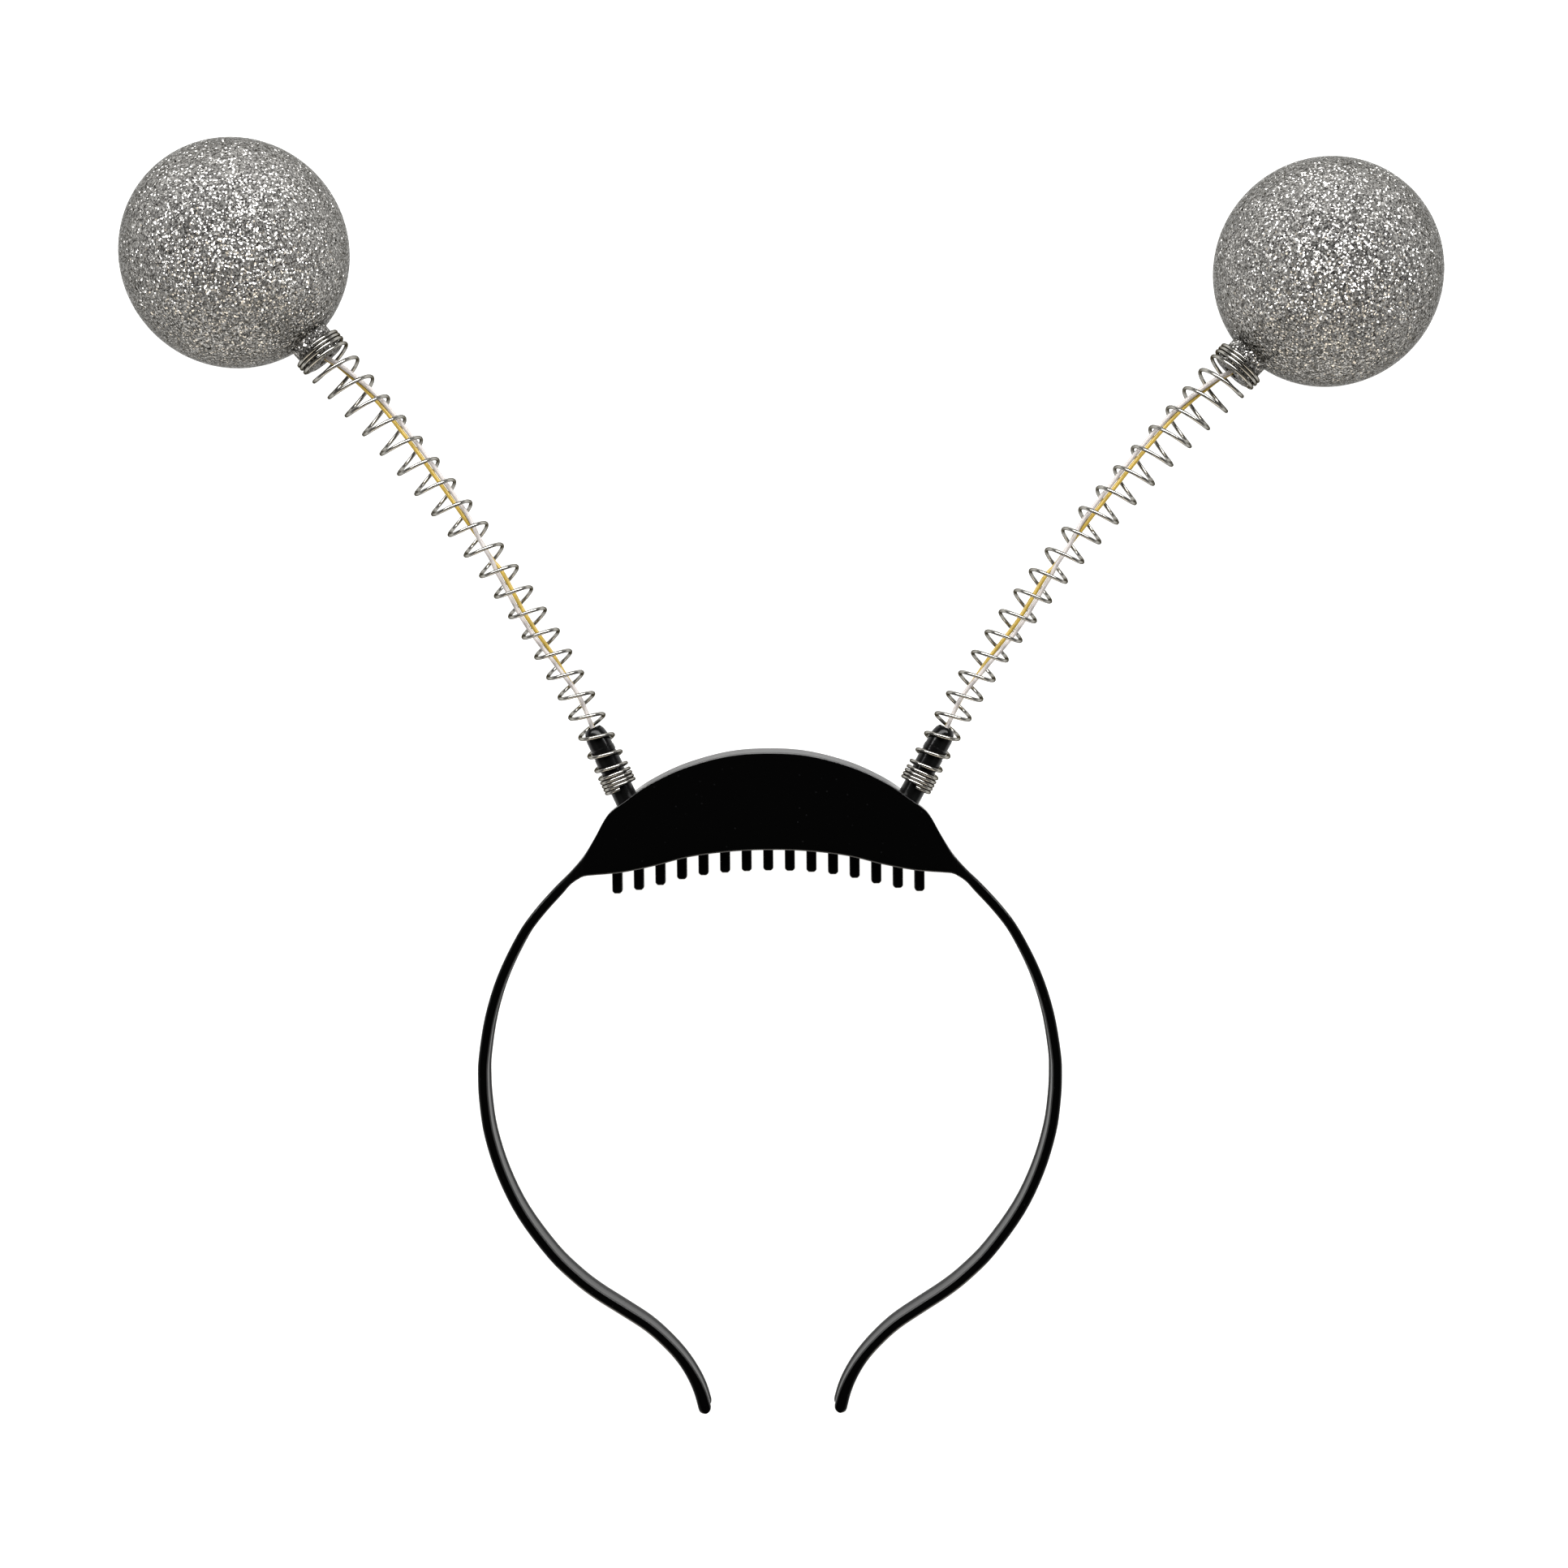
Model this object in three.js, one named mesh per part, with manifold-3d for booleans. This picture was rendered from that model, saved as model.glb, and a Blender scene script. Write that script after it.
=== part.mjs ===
// Head bopper: a C-shaped headband with a battery housing at its crown, a short comb under it,
// and two glitter balls on conical springs, with a pair of leads running up inside each spring.
// Millimetres. The object lies on its back: +X to the right as its face is seen, +Y towards the
// balls, +Z up.
// The pieces are laid out flat in the plane of the band, and one group tilts them all to the rest.
import * as THREE from "three";
import { mergeVertices } from "three/addons/utils/BufferGeometryUtils.js";
import Module from "manifold-3d";

// Headband
const BAND_HALF_WIDTH = 65.3; // from the plane of symmetry to the widest place
const BAND_LENGTH = 150; // from the top of the crown to the tips
const BAND_WALL = 2.3; // thickness of a limb
const BAND_DEPTH = 9; // front to back, at the side
const TIP_DEPTH = 7; // front to back, at the tips
const RIM_WIDTH = 1.1; // raised rims of the limbs' inner face
const CHANNEL_DEPTH = 0.35; // channel between those rims
const OUTER_CHAMFER = 0.7; // of the front's outer edge, and the panel's upper edge
const INNER_CHAMFER = 0.4;
const LIMB_BACK_CHAMFER = 0.6;

// Battery housing at the crown
const CROWN_HALF_SPAN = 49; // from the plane of symmetry to the start of the limb
const CROWN_HEIGHT = 21.65; // top to lower edge, on the plane of symmetry
const CROWN_FRONT = 6; // from the band's middle plane to the housing's face
const HOUSING_WALL = 2;
const HOUSING_FLOOR = 2.2; // thickness of its back
const HOUSING_SILL = 3.8; // wall along the lower edge, which holds the comb
const BACK_ROUNDING = 7; // of the back's upper edge
const POCKET_HALF_LENGTH = 35;
const PANEL_HALF_LENGTH = 41.5;
const PANEL_THICKNESS = 1.6;
const PANEL_INSET = 0.15;

// Comb
const TOOTH_COUNT = 15;
const TOOTH_PITCH = 4.82;
const TOOTH_WIDTH = 2.25;
const TOOTH_LENGTH = 5;
const TOOTH_CORNER = 0.5;
const COMB_DEPTH = 2.6;
const RAIL_HEIGHT = 1.6;
const RAIL_OVERHANG = 1.6; // rail past the outermost tooth

// Posts
const POST_RADIUS = 2.75;
const POST_BORE = 1.6; // radius
const POST_LENGTH = 17.8; // above the housing
const POST_FOOT = 5; // below the housing's surface
const POST_RING = 0.12; // height of its raised rings
const POST_AT = 31.4; // from the plane of symmetry

// Springs
const WIRE_RADIUS = 0.4;
const SPRING_LENGTH = 100.4; // from the post's tip to the neck's end face
const SPRING_START = 3.3; // first coil, above the housing
const CLOSE_PITCH = 1;
const POST_COIL_RADIUS = 3.45;
const NECK_COIL_RADIUS = 5.5;
const STEPS_PER_TURN = 10;

// Balls
const BALL_RADIUS = 25;
const BALL_WALL = 1.4;
const NECK_RADIUS = 4.75;
const NECK_LENGTH = 5.4; // past the ball's surface
const NECK_HOLE = 1.9; // radius
const NECK_COILS = 3;
const BALL_SEGMENTS = 18;

// Leads
const LEAD_RADIUS = 0.48;
const LEAD_SPACING = 1.25; // between the axes of the two
const LEAD_TAIL = 8; // inside the ball
const LEAD_STEPS = 25;

// Fits
const GAP = 0.3;
const BALL_CLEARANCE = 0.2; // under the balls, when the band's tips touch down

// The two antennas, and how far the post and the ball lean out, in degrees from the Y axis.
const antennas = [
  { name: "left", side: -1, postLean: 24.7, ballLean: 40.3 },
  { name: "right", side: 1, postLean: 28.7, ballLean: 44.1 },
];

// Half outline of the crown, from the plane of symmetry outwards. Across is a share of
// CROWN_HALF_SPAN, and up is a share of CROWN_HEIGHT from the middle of the crown.
const crownSections = [
  { topAcross: 0, topUp: 0.5, edgeAcross: 0, edgeUp: -0.5 },
  { topAcross: 0.184, topUp: 0.47, edgeAcross: 0.171, edgeUp: -0.514 },
  { topAcross: 0.38, topUp: 0.35, edgeAcross: 0.355, edgeUp: -0.566 },
  { topAcross: 0.537, topUp: 0.183, edgeAcross: 0.51, edgeUp: -0.653 },
  { topAcross: 0.643, topUp: 0.0, edgeAcross: 0.643, edgeUp: -0.714 },
  { topAcross: 0.726, topUp: -0.15, edgeAcross: 0.731, edgeUp: -0.736 },
  { topAcross: 0.786, topUp: -0.368, edgeAcross: 0.786, edgeUp: -0.746 },
  { topAcross: 0.838, topUp: -0.555, edgeAcross: 0.84, edgeUp: -0.764 },
  { topAcross: 0.9, topUp: -0.716, edgeAcross: 0.886, edgeUp: -0.815 },
];

// Half outline of a limb's outer face. Across is a share of BAND_HALF_WIDTH, and down is a
// share of BAND_LENGTH from the top of the crown.
const limbSections = [
  { across: 0.727, down: 0.1945 },
  { across: 0.798, down: 0.232 },
  { across: 0.857, down: 0.268 },
  { across: 0.927, down: 0.329 },
  { across: 0.972, down: 0.39 },
  { across: 0.996, down: 0.451 },
  { across: 1.0, down: 0.486 },
  { across: 0.996, down: 0.524 },
  { across: 0.98, down: 0.573 },
  { across: 0.938, down: 0.634 },
  { across: 0.87, down: 0.696 },
  { across: 0.768, down: 0.758 },
  { across: 0.683, down: 0.7955 },
  { across: 0.611, down: 0.8205 },
  { across: 0.525, down: 0.845 },
  { across: 0.44, down: 0.87 },
  { across: 0.377, down: 0.895 },
  { across: 0.327, down: 0.92 },
  { across: 0.291, down: 0.945 },
  { across: 0.266, down: 0.97 },
  { across: 0.248, down: 1.0 },
];

// Rounding of a tip: how far before the end, and the share of the wall left there.
const tipSections = [
  { before: 0.28, wall: 0.86 },
  { before: 0.08, wall: 0.56 },
  { before: 0.0, wall: 0.2 },
];

// Depth of the crown outside its flat middle. Across is a share of CROWN_HALF_SPAN, front a
// share of the step from the limb's face to the housing's, back of that from limb to floor.
const depthSections = [
  { across: 0, front: 1, back: 1 },
  { across: 0.72, front: 1, back: 1 },
  { across: 0.8, front: 0.9, back: 0.86 },
  { across: 0.88, front: 0.55, back: 0.45 },
  { across: 0.96, front: 0.18, back: 0.12 },
  { across: 1.04, front: 0, back: 0 },
];

// Turns of a spring, counted where the wire crosses its front. On the post, along is a share
// of POST_LENGTH, and past it a share of SPRING_LENGTH; wide is a share of the way from the
// post's coils to the neck's.
const postTurns = [
  { turn: 3, along: 0.354, wide: 0 },
  { turn: 4, along: 0.461, wide: 0 },
  { turn: 5, along: 0.64, wide: 0.02 },
  { turn: 6, along: 0.888, wide: 0.04 },
];
const freeTurns = [
  { turn: 7, along: 0.03, wide: 0.06 },
  { turn: 9, along: 0.133, wide: 0.09 },
  { turn: 12, along: 0.293, wide: 0.15 },
  { turn: 15, along: 0.461, wide: 0.25 },
  { turn: 18, along: 0.635, wide: 0.38 },
  { turn: 21, along: 0.809, wide: 0.57 },
  { turn: 23, along: 0.92, wide: 0.78 },
  { turn: 24, along: 0.97, wide: 0.9 },
];

// Route of a pair of leads up a spring. Along is a share of SPRING_LENGTH; inward is the
// pair's distance from the spring's axis in lead spacings; twist is the way from the white
// lead to the yellow one, in degrees from inward towards the back.
const leadRoute = [
  { along: 0.0, inward: 0, twist: 90 },
  { along: 0.075, inward: 0.36, twist: 100 },
  { along: 0.13, inward: -0.1, twist: 80 },
  { along: 0.185, inward: -0.42, twist: 45 },
  { along: 0.24, inward: -0.83, twist: 10 },
  { along: 0.3, inward: -0.85, twist: 0 },
  { along: 0.4, inward: 0, twist: 15 },
  { along: 0.46, inward: 0.34, twist: 90 },
  { along: 0.515, inward: 0.9, twist: 150 },
  { along: 0.635, inward: 1.55, twist: 178 },
  { along: 0.75, inward: 2.1, twist: 180 },
  { along: 0.865, inward: 2.2, twist: 180 },
  { along: 0.97, inward: 1.0, twist: 180 },
  { along: 1.0, inward: 0.15, twist: 180 },
];

const wasm = await Module();
wasm.setup();

const radians = THREE.MathUtils.degToRad;

// Row values at a place between two rows of a table.
function between(rows, key, value, column) {
  let i = 1;
  while (i < rows.length - 1 && rows[i][key] < value) i += 1;
  const share = (value - rows[i - 1][key]) / (rows[i][key] - rows[i - 1][key]);
  const eased = THREE.MathUtils.clamp(share, 0, 1);
  return rows[i - 1][column] + (rows[i][column] - rows[i - 1][column]) * eased;
}

// The same along a smooth curve through the rows.
function smoothly(rows, key, value, column) {
  let i = 1;
  while (i < rows.length - 1 && rows[i][key] < value) i += 1;
  const row = (n) => rows[THREE.MathUtils.clamp(n, 0, rows.length - 1)];
  const [a, b, c, d] = [row(i - 2), row(i - 1), row(i), row(i + 1)];
  const span = c[key] - b[key];
  const t = THREE.MathUtils.clamp((value - b[key]) / span, 0, 1);
  const slope = (p, q) => (q[key] === p[key] ? 0 : (q[column] - p[column]) / (q[key] - p[key]));
  const start = slope(a, c) * span;
  const end = slope(b, d) * span;
  const t2 = t * t;
  const t3 = t2 * t;
  return (
    b[column] * (2 * t3 - 3 * t2 + 1) +
    start * (t3 - 2 * t2 + t) +
    c[column] * (3 * t2 - 2 * t3) +
    end * (t3 - t2)
  );
}

// A solid from rings of points, each ring joined to the next and both ends capped.
function loft(rings) {
  const count = rings[0].length;
  const corners = rings.flat();
  const faces = [];
  for (let r = 0; r + 1 < rings.length; r += 1) {
    for (let i = 0; i < count; i += 1) {
      const a = r * count + i;
      const b = r * count + ((i + 1) % count);
      faces.push(a, b, b + count, a, b + count, a + count);
    }
  }
  for (const end of [0, rings.length - 1]) {
    const middle = new THREE.Vector3();
    rings[end].forEach((corner) => middle.addScaledVector(corner, 1 / count));
    const hub = corners.push(middle) - 1;
    for (let i = 0; i < count; i += 1) {
      const a = end * count + i;
      const b = end * count + ((i + 1) % count);
      faces.push(...(end === 0 ? [hub, b, a] : [hub, a, b]));
    }
  }
  const geometry = new THREE.BufferGeometry().setFromPoints(corners);
  geometry.setIndex(faces);
  return geometry;
}

function toSolid(geometry) {
  const bare = new THREE.BufferGeometry();
  bare.setAttribute("position", geometry.getAttribute("position").clone());
  if (geometry.index) bare.setIndex(geometry.index.clone());
  const merged = mergeVertices(bare, 1e-4);
  const vertProperties = new Float32Array(merged.getAttribute("position").array);
  const triVerts = new Uint32Array(merged.index.array);
  return new wasm.Manifold(new wasm.Mesh({ numProp: 3, vertProperties, triVerts }));
}

function toGeometry(solid) {
  const mesh = solid.getMesh();
  const geometry = new THREE.BufferGeometry();
  geometry.setAttribute("position", new THREE.BufferAttribute(mesh.vertProperties, mesh.numProp));
  geometry.setIndex(new THREE.BufferAttribute(mesh.triVerts, 1));
  return geometry;
}

// Rest on the floor: the plane of the band rises from the tips to the balls.
const CROWN_TOP = CROWN_HEIGHT / 2;
const TIP_Y = CROWN_TOP - BAND_LENGTH;

// The centre line of an antenna, straight up the post, then bent as a cantilever is by a
// load at its end. It is worked out once in short steps and read at any length.
function antennaAxis(antenna) {
  const stepLength = 0.5;
  const past = NECK_LENGTH + BALL_RADIUS;
  const total = POST_LENGTH + SPRING_LENGTH + past;
  const place = new THREE.Vector2(antenna.side * POST_AT, crownTopAt(POST_AT));
  const samples = [];
  const lean = (s) => {
    const t = THREE.MathUtils.clamp((s - POST_LENGTH) / SPRING_LENGTH, 0, 1);
    const bend = (antenna.ballLean - antenna.postLean) * (1 - (1 - t) ** 2);
    return radians(antenna.postLean + bend);
  };
  for (let s = 0; s <= total + stepLength; s += stepLength) {
    samples.push(place.clone());
    const middle = lean(s + stepLength / 2);
    place.x += antenna.side * Math.sin(middle) * stepLength;
    place.y += Math.cos(middle) * stepLength;
  }
  return {
    length: total,
    neckEnd: POST_LENGTH + SPRING_LENGTH,
    at(s) {
      const along = new THREE.Vector3(antenna.side * Math.sin(lean(s)), Math.cos(lean(s)), 0);
      const inward = new THREE.Vector3(-antenna.side * along.y, antenna.side * along.x, 0);
      const index = THREE.MathUtils.clamp(s / stepLength, 0, samples.length - 1.001);
      const low = Math.floor(index);
      const spot = samples[low].clone().lerp(samples[low + 1], index - low);
      const point = new THREE.Vector3(spot.x, spot.y, 0);
      if (s < 0) point.addScaledVector(along, s);
      return { point, along, inward };
    },
  };
}

// The band's half outline, as pairs of points on its outer and inner faces.
function crownPairs() {
  return crownSections.map((row) => ({
    outer: new THREE.Vector2(row.topAcross * CROWN_HALF_SPAN, row.topUp * CROWN_HEIGHT),
    inner: new THREE.Vector2(row.edgeAcross * CROWN_HALF_SPAN, row.edgeUp * CROWN_HEIGHT),
  }));
}

function limbPoints() {
  return limbSections.map(
    (row) => new THREE.Vector2(row.across * BAND_HALF_WIDTH, CROWN_TOP - row.down * BAND_LENGTH),
  );
}

// Height of the crown's top surface above its middle, at a distance from the symmetry plane.
function crownTopAt(across) {
  const share = Math.abs(across) / CROWN_HALF_SPAN;
  return smoothly(crownSections, "topAcross", share, "topUp") * CROWN_HEIGHT;
}

function crownEdgeAt(across) {
  const share = Math.abs(across) / CROWN_HALF_SPAN;
  return smoothly(crownSections, "edgeAcross", share, "edgeUp") * CROWN_HEIGHT;
}

// Tilt and height of the band's plane over the floor, from its tips and the nearer ball.
const ballHeights = antennas.map((antenna) => {
  const axis = antennaAxis(antenna);
  return axis.at(axis.length).point.y;
});
const REACH = Math.min(...ballHeights) - TIP_Y;
const HALF_TIP = TIP_DEPTH / 2;
const REST_TILT =
  Math.asin((BALL_RADIUS + BALL_CLEARANCE) / Math.hypot(REACH, HALF_TIP)) -
  Math.atan2(HALF_TIP, REACH);
const REST_HEIGHT = HALF_TIP * Math.cos(REST_TILT) - TIP_Y * Math.sin(REST_TILT);

// The floor, seen from the band's plane.
function floorAt(y) {
  return -(REST_HEIGHT + y * Math.sin(REST_TILT)) / Math.cos(REST_TILT);
}

// Front and back faces of the band's section at a point.
function depthAt(x, y) {
  const share = Math.abs(x) / CROWN_HALF_SPAN;
  const down = THREE.MathUtils.smoothstep((CROWN_TOP - y) / BAND_LENGTH, 0.5, 1);
  const half = THREE.MathUtils.lerp(BAND_DEPTH, TIP_DEPTH, down) / 2;
  const onCrown = y > -CROWN_HEIGHT * 1.2;
  const front = onCrown ? between(depthSections, "across", share, "front") : 0;
  const back = onCrown ? between(depthSections, "across", share, "back") : 0;
  return {
    front: half + (CROWN_FRONT - half) * front,
    back: -half + (floorAt(y) + half) * back,
    deep: back,
  };
}

// One ring of the band between an outer and an inner point.
function bandRing(outer, inner) {
  const across = inner.clone().sub(outer);
  const wall = across.length();
  across.divideScalar(wall);
  const centre = outer.clone().lerp(inner, 0.5);
  const { deep } = depthAt(centre.x, centre.y);
  const outerChamfer = Math.min(OUTER_CHAMFER, wall / 3);
  const innerChamfer = Math.min(INNER_CHAMFER, wall / 3);
  const rounding = THREE.MathUtils.lerp(LIMB_BACK_CHAMFER, BACK_ROUNDING, deep);
  const outerRound = Math.min(rounding, wall / 3);
  const innerRound = Math.min(LIMB_BACK_CHAMFER, wall / 3);
  const channel = Math.min(CHANNEL_DEPTH * (1 - deep), wall / 6);
  const spot = (inset) => outer.clone().addScaledVector(across, inset);
  const fromFront = (inset, below) => {
    const p = spot(inset);
    return new THREE.Vector3(p.x, p.y, depthAt(p.x, p.y).front - below);
  };
  const fromBack = (inset, above) => {
    const p = spot(inset);
    return new THREE.Vector3(p.x, p.y, depthAt(p.x, p.y).back + above);
  };
  const soft = 1 - Math.SQRT1_2;
  return [
    fromFront(0, outerChamfer),
    fromFront(outerChamfer, 0),
    fromFront(wall - innerChamfer, 0),
    fromFront(wall, innerChamfer),
    fromFront(wall, RIM_WIDTH),
    fromFront(wall - channel, RIM_WIDTH + channel),
    fromBack(wall - channel, RIM_WIDTH + channel),
    fromBack(wall, RIM_WIDTH),
    fromBack(wall, innerRound),
    fromBack(wall - innerRound, 0),
    fromBack(outerRound, 0),
    fromBack(outerRound * soft, outerRound * soft),
    fromBack(0, outerRound),
  ];
}

// Pairs of points down one half of the band, crown first.
function halfBandPairs() {
  const crown = crownPairs();
  const limb = limbPoints();
  const outline = new THREE.SplineCurve([...crown.map((pair) => pair.outer), ...limb]);
  const edge = new THREE.SplineCurve(crown.map((pair) => pair.inner));
  const last = outline.points.length - 1;
  const crownLast = crown.length - 1;
  const pairs = [];
  const offset = (t, wall, lift) => {
    const tangent = outline.getTangent(t);
    const inward = new THREE.Vector2(tangent.y, -tangent.x);
    const outer = outline.getPoint(t).addScaledVector(inward, lift);
    return { outer, inner: outer.clone().addScaledVector(inward, wall) };
  };
  for (let i = 0; i <= crownLast; i += 0.5) {
    pairs.push({ outer: outline.getPoint(i / last), inner: edge.getPoint(i / crownLast) });
  }
  for (let i = crownLast + 1; i < last; i += 1) {
    pairs.push(offset(i / last, BAND_WALL, 0));
  }
  for (const row of tipSections) {
    const t = 1 - row.before / last;
    pairs.push(offset(t, BAND_WALL * row.wall, (BAND_WALL * (1 - row.wall)) / 2));
  }
  return pairs;
}

const mirrored = (point) => new THREE.Vector2(-point.x, point.y);

// Pairs from the left tip over the crown to the right tip.
function bandPairs() {
  const right = halfBandPairs();
  const left = right.slice(1).map((pair) => ({
    outer: mirrored(pair.outer),
    inner: mirrored(pair.inner),
  }));
  return [...left.reverse(), ...right];
}

// A slab that follows the crown's outline, drawn in or out, between two levels. Its sections
// lie closer together towards the ends, where the outline falls away.
function crownSlab(halfLength, top, edge, levels, chamfer) {
  const rings = [];
  const count = 20;
  for (let i = 0; i <= count; i += 1) {
    const x = halfLength * Math.sin(Math.PI * (i / count - 0.5));
    const high = crownTopAt(x) - top;
    const low = crownEdgeAt(x) + edge;
    const back = (y) => new THREE.Vector3(x, y, levels(x, y)[0]);
    const front = (y, below) => new THREE.Vector3(x, y, levels(x, y)[1] - below);
    const broken = chamfer > 0 ? [front(high, chamfer)] : [];
    rings.push([back(low), back(high), ...broken, front(high - chamfer, 0), front(low, 0)]);
  }
  return loft(rings);
}

// The front panel's back face follows the housing's face, one panel's thickness below it.
function panelSeat(x, y) {
  return depthAt(x, y).front - PANEL_THICKNESS;
}

function pocketCutter() {
  const levels = (x, y) => [floorAt(y) + HOUSING_FLOOR, CROWN_FRONT + 1];
  return toSolid(crownSlab(POCKET_HALF_LENGTH, HOUSING_WALL, HOUSING_SILL, levels, 0));
}

function panelCutter() {
  const levels = (x, y) => [panelSeat(x, y) - GAP, CROWN_FRONT + 2];
  return toSolid(crownSlab(PANEL_HALF_LENGTH + GAP, -1, -1, levels, 0));
}

// Outline of the comb, grown by a clearance all round.
function combShape(grow) {
  const half = ((TOOTH_COUNT - 1) / 2) * TOOTH_PITCH;
  const end = half + TOOTH_WIDTH / 2 + RAIL_OVERHANG + grow;
  const corner = TOOTH_CORNER;
  const shape = new THREE.Shape();
  const sill = (x) => crownEdgeAt(x) - grow;
  shape.moveTo(-end, sill(-end));
  for (let i = 0; i < TOOTH_COUNT; i += 1) {
    const x = -half + i * TOOTH_PITCH;
    const left = x - TOOTH_WIDTH / 2;
    const right = x + TOOTH_WIDTH / 2;
    const tip = crownEdgeAt(x) - TOOTH_LENGTH;
    shape.lineTo(left, sill(left));
    if (grow === 0) {
      shape.lineTo(left, tip + corner);
      shape.lineTo(left + corner, tip);
      shape.lineTo(right - corner, tip);
      shape.lineTo(right, tip + corner);
    }
    shape.lineTo(right, sill(right));
  }
  shape.lineTo(end, sill(end));
  const railSteps = 10;
  for (let i = 0; i <= railSteps; i += 1) {
    const x = end - (2 * end * i) / railSteps;
    shape.lineTo(x, crownEdgeAt(x) + RAIL_HEIGHT + grow);
  }
  return shape;
}

function combGeometry(grow) {
  const depth = COMB_DEPTH + 2 * grow;
  const geometry = new THREE.ExtrudeGeometry(combShape(grow), { depth, bevelEnabled: false });
  return geometry.translate(0, 0, -depth / 2);
}

// Room for the comb's rail, open downwards.
function combCutter() {
  const slot = combGeometry(GAP);
  return toSolid(slot);
}

// Places a lathe or cylinder, made along +Y, on an antenna's axis.
function onAxis(geometry, axis, s) {
  const { point, along } = axis.at(s);
  const turn = new THREE.Quaternion().setFromUnitVectors(new THREE.Vector3(0, 1, 0), along);
  geometry.applyQuaternion(turn);
  geometry.translate(point.x, point.y, point.z);
  return geometry;
}

function postHoleCutter(axis) {
  const radius = POST_RADIUS + GAP;
  const length = POST_FOOT + POST_LENGTH / 2;
  const hole = new THREE.CylinderGeometry(radius, radius, length, 16);
  return toSolid(onAxis(hole, axis, length / 2 - POST_FOOT - GAP));
}

function headbandGeometry(axes) {
  const rings = bandPairs().map((pair) => bandRing(pair.outer, pair.inner));
  let solid = toSolid(loft(rings));
  const cutters = [pocketCutter(), panelCutter(), combCutter(), ...axes.map(postHoleCutter)];
  for (const cutter of cutters) solid = solid.subtract(cutter);
  return toGeometry(solid);
}

function panelGeometry() {
  const levels = (x, y) => [panelSeat(x, y), depthAt(x, y).front];
  return crownSlab(PANEL_HALF_LENGTH, PANEL_INSET, PANEL_INSET, levels, OUTER_CHAMFER);
}

// A hollow post with a domed tip and three raised rings.
function postGeometry(axis) {
  const r = POST_RADIUS;
  const top = POST_LENGTH;
  const profile = [
    new THREE.Vector2(POST_BORE, -POST_FOOT),
    new THREE.Vector2(r - POST_RING, -POST_FOOT),
    new THREE.Vector2(r - POST_RING, top * 0.45),
    new THREE.Vector2(r, top * 0.47),
    new THREE.Vector2(r, top * 0.62),
    new THREE.Vector2(r - POST_RING, top * 0.64),
    new THREE.Vector2(r - POST_RING, top * 0.84),
    new THREE.Vector2(r * 0.86, top * 0.92),
    new THREE.Vector2(r * 0.7, top),
    new THREE.Vector2(POST_BORE, top),
    new THREE.Vector2(POST_BORE, -POST_FOOT),
  ];
  return onAxis(new THREE.LatheGeometry(profile, 12), axis, 0);
}

// Position along the axis and radius of a spring at a number of turns.
function springTurn(turn) {
  const closeTurns = postTurns[0].turn;
  const lastFree = freeTurns[freeTurns.length - 1];
  const neckStart = POST_LENGTH + SPRING_LENGTH + WIRE_RADIUS;
  const rows = [
    { turn: 0, along: SPRING_START, wide: 0 },
    ...postTurns.map((row) => ({ ...row, along: row.along * POST_LENGTH })),
    ...freeTurns.map((row) => ({ ...row, along: POST_LENGTH + row.along * SPRING_LENGTH })),
    { turn: lastFree.turn + 1, along: neckStart, wide: 1 },
    { turn: lastFree.turn + 1 + NECK_COILS, along: neckStart + NECK_COILS * CLOSE_PITCH, wide: 1 },
  ];
  rows[1].along = SPRING_START + closeTurns * CLOSE_PITCH;
  return {
    along: smoothly(rows, "turn", turn, "along"),
    radius: THREE.MathUtils.lerp(
      POST_COIL_RADIUS,
      NECK_COIL_RADIUS,
      between(rows, "turn", turn, "wide"),
    ),
  };
}

// The wire of a spring; its steps are even in turns, so that each coil has as many.
class SpringWire extends THREE.Curve {
  constructor(axis) {
    super();
    this.axis = axis;
    this.turns = freeTurns[freeTurns.length - 1].turn + 1 + NECK_COILS;
  }
  getPoint(t) {
    const turn = t * this.turns;
    const { along, radius } = springTurn(turn);
    const frame = this.axis.at(along);
    const angle = (turn - 0.25) * 2 * Math.PI;
    const point = frame.point.clone();
    point.addScaledVector(frame.inward, -radius * Math.cos(angle));
    point.z -= radius * Math.sin(angle);
    return point;
  }
  getUtoTmapping(u) {
    return u;
  }
}

function roundSection(radius, sides) {
  const corners = [];
  for (let i = 0; i < sides; i += 1) {
    const angle = (i / sides) * 2 * Math.PI;
    corners.push(new THREE.Vector2(radius * Math.cos(angle), radius * Math.sin(angle)));
  }
  return new THREE.Shape(corners);
}

function springGeometry(axis) {
  const wire = new SpringWire(axis);
  return new THREE.ExtrudeGeometry(roundSection(WIRE_RADIUS, 5), {
    extrudePath: wire,
    steps: wire.turns * STEPS_PER_TURN,
    bevelEnabled: false,
  });
}

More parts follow.
